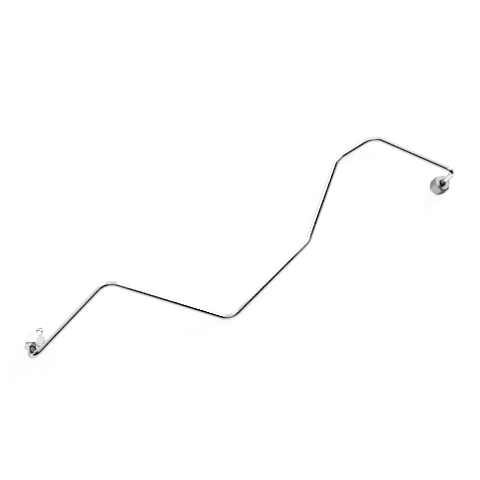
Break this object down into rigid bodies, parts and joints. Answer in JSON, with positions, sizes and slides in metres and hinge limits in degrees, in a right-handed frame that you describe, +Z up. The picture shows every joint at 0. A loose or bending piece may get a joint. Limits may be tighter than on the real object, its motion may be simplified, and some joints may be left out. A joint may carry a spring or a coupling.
{
  "type": "injector pipe",
  "caption": "Bent steel high-pressure fuel pipe with a cone head at each end and a loose hexagon union nut held on by a thrust sleeve.",
  "frame": {"origin": "on the table the pipe lies on, under the middle of its box", "axes": "+X along the pipe's length, from its left nut to its right nut; +Y away from the viewer of the picture; +Z up"},
  "size_m": [0.5132, 0.2892, 0.0552],
  "materials": {
    "tube": "bright drawn steel, zinc-washed and smooth",
    "nut": "clear zinc plate over machined steel",
    "sleeve": "dark phosphated steel"
  },
  "bodies": {
    "pipe": {"injector_tube": "tube"},
    "left_sleeve": {"left_thrust_sleeve": "sleeve"},
    "left_nut": {"left_union_nut": "nut"},
    "right_sleeve": {"right_thrust_sleeve": "sleeve"},
    "right_nut": {"right_union_nut": "nut"}
  },
  "joints": [
    {"name": "left_nut_slide", "type": "slide", "parent": "pipe", "child": "left_sleeve", "axis": [0.1486, 0.8695, -0.471], "range_m": [-0.0071, 0.015]},
    {"name": "left_nut_turn", "type": "hinge", "parent": "left_sleeve", "child": "left_nut", "pos_m": [-0.24383, -0.11607, 0.00882], "axis": [0.1486, 0.8695, -0.471], "continuous": true},
    {"name": "right_nut_slide", "type": "slide", "parent": "pipe", "child": "right_sleeve", "axis": [-0.2688, -0.0316, -0.9627], "range_m": [-0.0225, 0.0016]},
    {"name": "right_nut_turn", "type": "hinge", "parent": "right_sleeve", "child": "right_nut", "pos_m": [0.24266, 0.0787, 0.00239], "axis": [-0.2688, -0.0316, -0.9627], "continuous": true}
  ]
}
